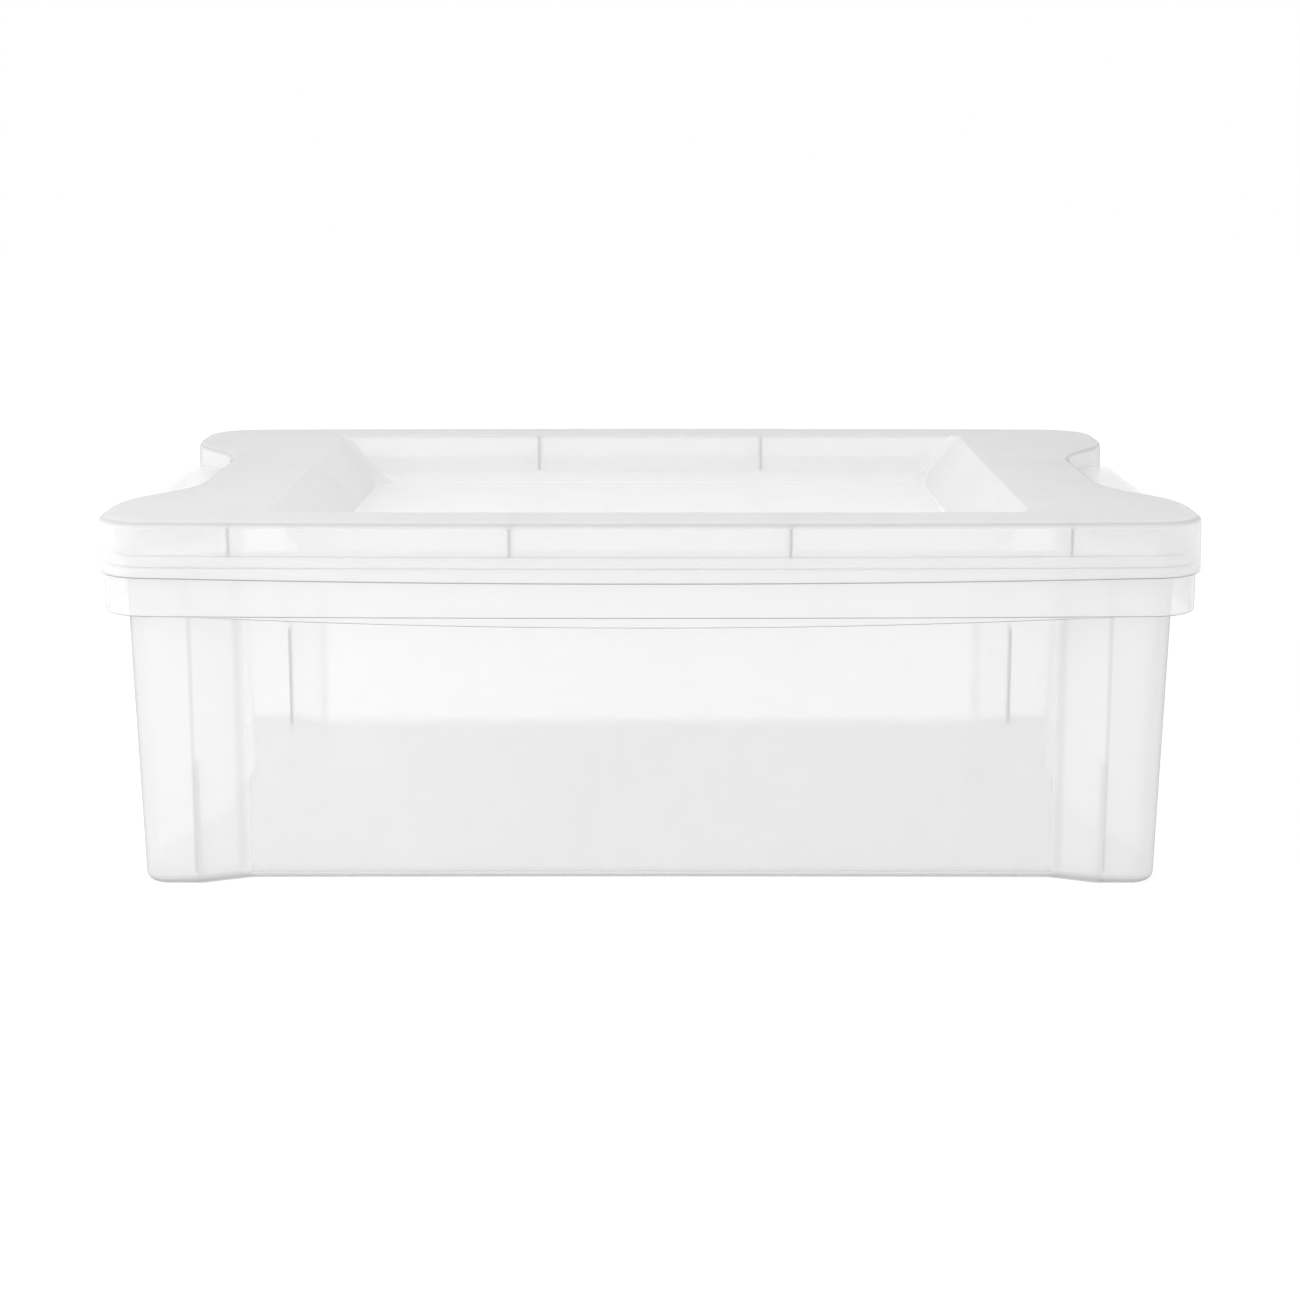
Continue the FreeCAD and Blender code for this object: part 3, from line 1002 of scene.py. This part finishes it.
@dataclass
class Lid:
    """The lid: a skirted top with a panel sunk into it, and webs under its long strips, above the rim."""

    plan: Plan
    top: float
    body: str = "lid"
    slot: str = "lid_plastic"
    wall: float = 1.8
    skirt: float = 28.7
    skirt_arch: float = 2.0
    taper: float = 0.6
    edge_radius: float = 3.0
    long_strip: float = 40.0
    short_strip: float = 86.0
    recess_depth: float = 28.0
    bench_depth: float = 22.4
    end_slope: float = 23.5
    side_slope: float = 1.5
    cove: float = 11.0
    recess_corner: float = 8.0
    floor_corner: float = 20.0
    floor_radius: float = 4.0
    mouth_radius: float = 1.5
    mouth_margin: float = 4.0
    edge_margin: float = 14.0
    lip_radius: float = 0.85
    under_share: float = 0.9
    panel_share: float = 0.88
    edge_fold: float = 0.3
    long_wall: float = 0.9
    web_thickness: float = 1.6
    web_bevel: float = 0.3
    web_drop: float = 17.3
    web_tongue: float = 4.7
    web_spacing: float = 140.0
    web_count: int = 4
    tongue_y: float = 174.2

    @property
    def recess_x(self) -> float:
        """Half the length of the sunken panel's mouth."""
        return self.plan.half_width - self.short_strip

    @property
    def recess_y(self) -> float:
        """Half the width of the sunken panel's mouth."""
        return self.plan.half_depth - self.long_strip

    def shell(self) -> Shape:
        """Surface of panel, strip and skirt in one: from under the panel out and down the skirt, then back.

        Each ring is the lid's or the recess's outline moved outwards by an offset, at a height; the skirt's
        lower edge hangs down in a shallow arch along the long sides. At the waist the skirt is frosted.

        Returns:
            The shape.
        """
        plan = self.plan
        edge = plan.bowed()
        bench_y = self.recess_y - self.side_slope
        share = self.bench_depth / self.recess_depth
        mouth = plan.rectangle(self.recess_x, self.recess_y, self.recess_corner)
        ledge = plan.rectangle(self.recess_x - share * self.end_slope, bench_y, self.recess_corner)
        panel = plan.rectangle(self.recess_x - self.end_slope, bench_y - self.cove, self.floor_corner)
        bench = self.top - self.bench_depth
        floor = self.top - self.recess_depth
        roof = self.top - self.wall
        low = arched(edge, self.top - self.skirt, self.skirt_arch, plan.waist_x)
        rise = self.bench_depth / (self.bench_depth + self.wall)
        walls = np.where(np.abs(mouth.normals[:, 1]) > self.long_wall, LidFinish.RECESS, LidFinish.ENDS)
        waist = np.abs(edge.points[:, 1]) < plan.lobe_y
        skirts = np.where(waist, LidFinish.TOP, LidFinish.SKIRT)
        throat = (1 - rise) * ledge.ring(self.wall, roof) + rise * mouth.ring(self.wall, roof)
        skin = Skin()
        skin.add(panel.ring(self.wall, floor - self.wall, self.under_share), 0.0, LidFinish.PANEL)
        skin.add(panel.ring(self.wall, floor - self.wall), self.floor_radius, walls)
        skin.add(ledge.ring(self.wall, bench - self.wall), self.mouth_radius, walls)
        skin.add(throat, self.mouth_radius / 2)
        skin.add(edge.ring(-self.edge_margin, roof))
        skin.add(edge.ring(-self.wall - self.taper, roof), self.mouth_radius, skirts)
        skin.add(edge.ring(-self.wall, low), self.lip_radius, skirts, 1.0)
        skin.add(edge.ring(0.0, low), self.lip_radius, skirts, 1.0)
        skin.add(edge.ring(-self.taper, self.top), self.edge_radius, LidFinish.TOP, self.edge_fold)
        skin.add(edge.ring(-self.edge_margin, self.top))
        skin.add(mouth.ring(self.mouth_margin, self.top))
        skin.add(mouth.ring(0.0, self.top), self.mouth_radius, walls)
        skin.add(ledge.ring(0.0, bench), self.mouth_radius, walls)
        skin.add(panel.ring(0.0, floor), self.floor_radius, LidFinish.PANEL)
        skin.add(panel.ring(0.0, floor, self.panel_share), 0.0, LidFinish.PANEL)
        return skin.mesh()

    def web(self, index: int, long: Long) -> Shape:
        """Upright web between skirt and recess: it ends above the rim, and its inner tongue reaches lower.

        Args:
            index: number of the web from the left.
            long: the long strip that it is under.

        Returns:
            The shape.
        """
        x = (index - (self.web_count - 1) / 2) * self.web_spacing
        outer = self.plan.bow_y(x) - self.wall / 2 - self.taper
        inner = self.recess_y + self.wall / 2
        roof = self.top - self.wall / 2
        seat = self.top - self.web_drop
        corners = np.array([(outer, roof), (outer, seat), (self.tongue_y, seat),
                            (self.tongue_y - self.web_tongue, seat - self.web_tongue),
                            (inner - self.side_slope, seat - self.web_tongue), (inner, roof)])
        skirt_edge, recess_edge = 0, 4
        marked = (skirt_edge,) if long is Long.FRONT else (skirt_edge, recess_edge)
        return plate(corners * (long.value, 1), x, self.web_thickness, marked)

    def build(self) -> None:
        """Makes every piece of the lid in its plastics."""
        top, panel, skirt, recess, ends, web, root = (plastic.build() for plastic in (
            LID_TOP, LID_PANEL, LID_SKIRT, LID_RECESS, LID_ENDS_PAINTED_LIGHTER, CLEAR_WEB, WEB_ROOT))
        finishes = [top, panel, skirt, recess, ends]
        shell = make_piece("lid_shell", self.shell(), finishes, self.body)
        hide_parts("lid")
        for long in Long:
            for index in range(self.web_count):
                name = f"lid_web_{long.name.lower()}_{index + 1}"
                make_piece(name, self.web(index, long), [web, root], self.body,
                           self.web_bevel)


@dataclass
class Studio:
    """White studio: a pale floor, a bright surround, a soft panel of light on the left and the camera."""

    front_y: float
    top_z: float
    floor: PaleFloor = PaleFloor()
    floor_half: float = 6.0
    floor_drop: float = 0.0002
    floor_cells: int = 8
    horizon: float = 1.25
    zenith: float = 0.96
    left_gain: float = 1.16
    right_gain: float = 0.84
    surround_colour: str = "#FFFEFF"
    backdrop_colour: str = "#FFFFFF"
    panel_place: Place = (-1.1, -0.7, 0.8)
    panel_turn: Place = (0.0, -55.0, 33.0)
    panel_size: float = 0.8
    panel_power: float = 4.0
    camera_back: float = 1275.6
    camera_up: float = 198.2
    camera_pitch: float = 11.6
    camera_clip: tuple[float, float] = (0.05, 50.0)
    lens_mm: float = 72.19
    sensor_mm: float = 36.0
    bounces: int = 14
    matt_bounces: int = 8
    clear_bounces: int = 48

    def lay_floor(self) -> None:
        """Makes the floor, a grid of even height just under the tub."""
        cells, row = np.arange(self.floor_cells), self.floor_cells + 1
        span = np.linspace(-self.floor_half, self.floor_half, row)
        x, y = np.meshgrid(span, span, indexing="ij")
        points = np.column_stack([x.ravel(), y.ravel(), np.full(x.size, -self.floor_drop)])
        corner = (cells[:, None] * row + cells).ravel()
        faces = np.column_stack([corner, corner + row, corner + row + 1, corner + 1])
        mesh = bpy.data.meshes.new("studio_floor")
        mesh.from_pydata(points.tolist(), [], faces.tolist())
        mesh.materials.append(self.floor.build())
        floor = bpy.data.objects.new("studio_floor", mesh)
        bpy.context.scene.collection.objects.link(floor)

    def light_surround(self) -> None:
        """Makes the surround: white to the eye, and for the plastic brightest low down and on the left."""
        world = bpy.data.worlds.new("studio_surround")
        world.use_nodes = True
        tree = world.node_tree
        tree.nodes.clear()
        add = partial(add_node, tree)
        way = add("TexCoord").outputs["Generated"]
        axes = add("SeparateXYZ", {0: way}).outputs
        height = add("MapRange", {"Value": axes[2], "To Min": self.horizon, "To Max": self.zenith})
        side = add("MapRange", {
            "Value": axes[0], "From Min": -1.0, "To Min": self.left_gain, "To Max": self.right_gain})
        strength = add("Math", {0: height, 1: side}, operation="MULTIPLY")
        around = add("Background", {"Color": linear(self.surround_colour), "Strength": strength})
        seen = add("Background", {"Color": linear(self.backdrop_colour)})
        eye = add("LightPath").outputs["Is Camera Ray"]
        mix = add("MixShader", {0: eye, 1: around, 2: seen})
        add("OutputWorld", {"Surface": mix})
        bpy.context.scene.world = world

    def hang_panel(self) -> None:
        """Hangs the square panel of light; its turn is in degrees from facing straight down."""
        lamp = bpy.data.lights.new("left_panel", "AREA")
        lamp.shape = "SQUARE"
        lamp.size = self.panel_size
        lamp.energy = self.panel_power
        panel = bpy.data.objects.new("left_panel", lamp)
        panel.location = self.panel_place
        panel.rotation_euler = tuple(math.radians(angle) for angle in self.panel_turn)
        bpy.context.scene.collection.objects.link(panel)

    def set_camera(self) -> None:
        """Sets the camera in front of the lid's middle, looking along +Y and a little down."""
        eye = bpy.data.cameras.new("camera")
        eye.sensor_width = self.sensor_mm
        eye.lens = self.lens_mm
        eye.clip_start, eye.clip_end = self.camera_clip
        camera = bpy.data.objects.new("camera", eye)
        camera.location = (0.0, -(self.front_y + self.camera_back) * MM, (self.top_z + self.camera_up) * MM)
        camera.rotation_euler = (math.radians(90.0 - self.camera_pitch), 0.0, 0.0)
        bpy.context.scene.collection.objects.link(camera)
        bpy.context.scene.camera = camera

    def build(self) -> None:
        """Sets up floor, surround, light, camera and the plain view of the colours."""
        self.lay_floor()
        self.light_surround()
        self.hang_panel()
        self.set_camera()
        scene = bpy.context.scene
        scene.view_settings.view_transform = "Standard"
        scene.cycles.max_bounces = self.bounces
        scene.cycles.diffuse_bounces = self.matt_bounces
        scene.cycles.transparent_max_bounces = self.clear_bounces
        LOG.info("studio: floor, surround, light and camera")


def main() -> None:
    logging.basicConfig(level=logging.INFO, format="%(name)s %(message)s")
    lid_high = np.array(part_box("lid")[1]) / MM
    tub_high = np.array(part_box("tub")[1]) / MM
    plan = Plan(half_width=float(lid_high[0]), half_depth=float(lid_high[1]))
    top = float(lid_high[2])
    lid = Lid(plan, top)
    tub = Tub(plan, rim_top=top - lid.web_drop - SEAT_GAP, handle_top=float(tub_high[2]),
              handle_x=float(tub_high[0]))
    tub.build()
    lid.build()
    Studio(front_y=plan.half_depth, top_z=top).build()


if __name__ == "__main__":
    main()
